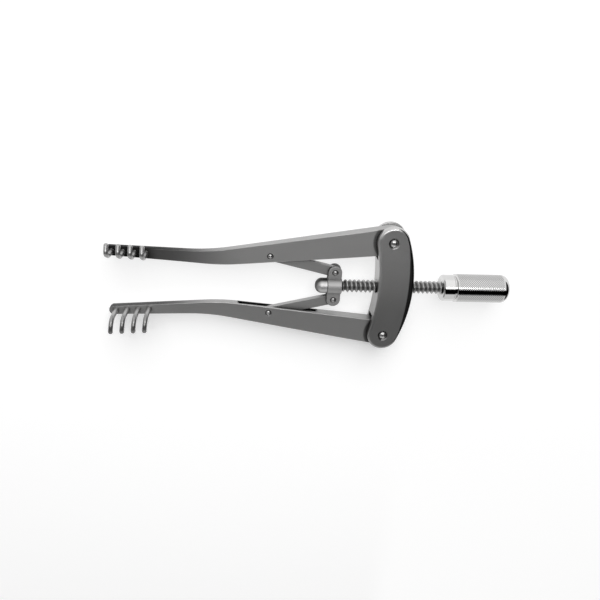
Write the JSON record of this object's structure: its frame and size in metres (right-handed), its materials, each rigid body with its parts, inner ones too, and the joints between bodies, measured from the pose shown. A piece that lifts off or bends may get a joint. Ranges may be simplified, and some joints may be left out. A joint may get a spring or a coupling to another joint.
{
  "type": "self retaining retractor",
  "caption": "Two toothed arms hinge in a crescent yoke; a screw with a knurled knob pushes a block and links that spread them.",
  "frame": {"origin": "middle of the yoke's back face, on the line between the two arm pivots", "axes": "+X along the screw toward the knob, +Y across the opening to the upper arm, +Z out of the front face, the way the teeth point"},
  "size_m": [0.0994, 0.0324, 0.01],
  "materials": {
    "satin_steel": "satin",
    "block_steel": "satin",
    "screw_steel": "polished",
    "pin_steel": "polished",
    "tooth_steel": "polished",
    "knob_chrome": "polished, with a fine diamond knurl"
  },
  "bodies": {
    "yoke_body": {"yoke": "satin_steel", "upper_yoke_pin": "pin_steel", "lower_yoke_pin": "pin_steel"},
    "block_body": {"screw_block": "block_steel", "upper_block_pin": "pin_steel", "lower_block_pin": "pin_steel"},
    "screw_body": {"screw": "screw_steel", "screw_end_cap": "block_steel", "knob": "knob_chrome"},
    "upper_arm_body": {"upper_arm": "satin_steel", "upper_arm_link_pin": "pin_steel", "upper_tooth_1": "tooth_steel", "upper_tooth_2": "tooth_steel", "upper_tooth_3": "tooth_steel", "upper_tooth_4": "tooth_steel"},
    "upper_link_body": {"upper_link": "satin_steel"},
    "lower_arm_body": {"lower_arm": "satin_steel", "lower_arm_link_pin": "pin_steel", "lower_tooth_1": "tooth_steel", "lower_tooth_2": "tooth_steel", "lower_tooth_3": "tooth_steel", "lower_tooth_4": "tooth_steel"},
    "lower_link_body": {"lower_link": "satin_steel"}
  },
  "joints": [
    {"name": "block_travel", "type": "slide", "parent": "yoke_body", "child": "block_body", "axis": [1, 0, 0], "range_m": [-0.00382, 0.00084]},
    {"name": "knob_turn", "type": "hinge", "parent": "block_body", "child": "screw_body", "pos_m": [-0.01316, 0, 0.0031], "axis": [1, 0, 0], "range_deg": [-1146.01, 252.01]},
    {"name": "upper_arm_swing", "type": "hinge", "parent": "yoke_body", "child": "upper_arm_body", "pos_m": [0, 0.0123, 0.0031], "axis": [0, 0, 1], "range_deg": [-17.3, 3.81]},
    {"name": "lower_arm_swing", "type": "hinge", "parent": "yoke_body", "child": "lower_arm_body", "pos_m": [0, -0.0123, 0.0031], "axis": [0, 0, 1], "range_deg": [-3.81, 17.3]},
    {"name": "upper_link_swing", "type": "hinge", "parent": "block_body", "child": "upper_link_body", "pos_m": [-0.01316, 0.00363, 0.00268], "axis": [0, 0, 1], "range_deg": [-32.27, 7.1]},
    {"name": "lower_link_swing", "type": "hinge", "parent": "block_body", "child": "lower_link_body", "pos_m": [-0.01316, -0.00363, 0.00268], "axis": [0, 0, 1], "range_deg": [-7.1, 32.27]}
  ],
  "couplings": [
    {"joint": "knob_turn", "follows": "block_travel", "rad_per_m": 5236},
    {"joint": "upper_arm_swing", "follows": "block_travel", "rad_per_m": 79.032},
    {"joint": "lower_arm_swing", "follows": "block_travel", "rad_per_m": -79.032},
    {"joint": "upper_link_swing", "follows": "block_travel", "rad_per_m": 147.41},
    {"joint": "lower_link_swing", "follows": "block_travel", "rad_per_m": -147.41}
  ]
}
